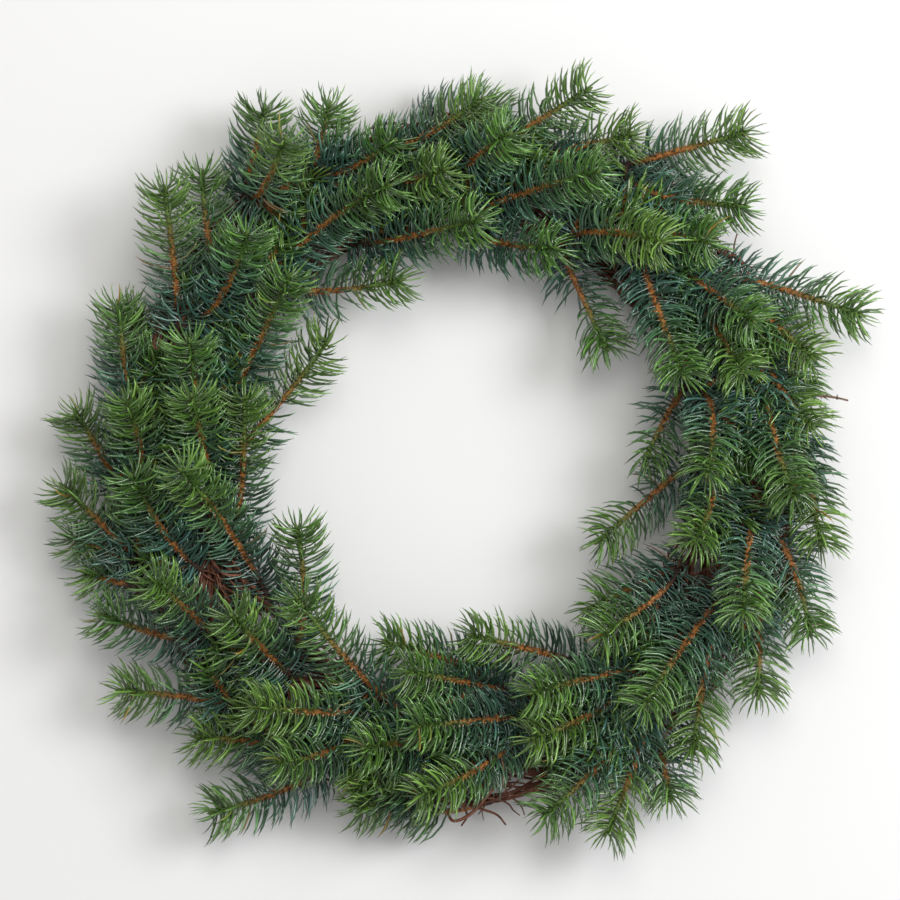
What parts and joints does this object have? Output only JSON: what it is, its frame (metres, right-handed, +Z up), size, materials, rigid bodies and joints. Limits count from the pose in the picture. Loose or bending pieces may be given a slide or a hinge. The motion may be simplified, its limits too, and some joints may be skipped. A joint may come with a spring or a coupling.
{
  "type": "evergreen wreath",
  "caption": "Round evergreen wreath: overlapping spruce sprays, all running clockwise, wired on a ring of thin vines, lying flat, open in the middle.",
  "frame": {"origin": "centre of the vine ring, on the surface that the wreath lies on", "axes": "+Z up, out of the wreath's face; +X to the right and +Y to the top of the picture; the sprays run clockwise seen from +Z"},
  "size_m": [0.4577, 0.4259, 0.0944],
  "materials": {
    "spruce_needle": "living spruce needles, yellow-green at the crowns and blue-green below, soft gloss",
    "twig_bark": "orange-brown young twig, matt and knobby",
    "vine_bark": "red-brown vine bark, matt, ribbed along its length",
    "binding_wire": "dark green florist's wire, satin"
  },
  "bodies": {
    "root": {"vine_ring": "vine_bark", "binding_wire": "binding_wire", "spray_01": "spruce_needle", "spray_02": "spruce_needle", "spray_03": "spruce_needle", "spray_04": "spruce_needle", "spray_05": "spruce_needle", "spray_06": "spruce_needle", "spray_07": "spruce_needle", "spray_08": "spruce_needle", "spray_09": "spruce_needle", "spray_10": "spruce_needle", "spray_11": "spruce_needle", "spray_12": "spruce_needle", "spray_13": "spruce_needle", "spray_14": "spruce_needle", "spray_15": "spruce_needle", "spray_16": "spruce_needle", "spray_17": "spruce_needle", "spray_18": "spruce_needle", "spray_19": "spruce_needle", "spray_20": "spruce_needle", "spray_21": "spruce_needle", "spray_22": "spruce_needle", "spray_23": "spruce_needle", "spray_24": "spruce_needle", "spray_25": "spruce_needle", "spray_26": "spruce_needle", "spray_27": "spruce_needle", "spray_28": "spruce_needle", "spray_29": "spruce_needle", "spray_30": "spruce_needle", "spray_31": "spruce_needle", "spray_32": "spruce_needle", "spray_33": "spruce_needle", "spray_34": "spruce_needle", "spray_35": "spruce_needle", "spray_36": "spruce_needle", "spray_37": "spruce_needle", "spray_38": "spruce_needle", "spray_39": "spruce_needle", "spray_40": "spruce_needle", "spray_41": "spruce_needle", "spray_42": "spruce_needle", "spray_43": "spruce_needle", "spray_44": "spruce_needle", "spray_45": "spruce_needle", "spray_46": "spruce_needle", "spray_47": "spruce_needle", "spray_48": "spruce_needle", "spray_49": "spruce_needle", "spray_50": "spruce_needle", "spray_51": "spruce_needle", "spray_52": "spruce_needle", "spray_53": "spruce_needle", "spray_54": "spruce_needle"}
  },
  "joints": []
}
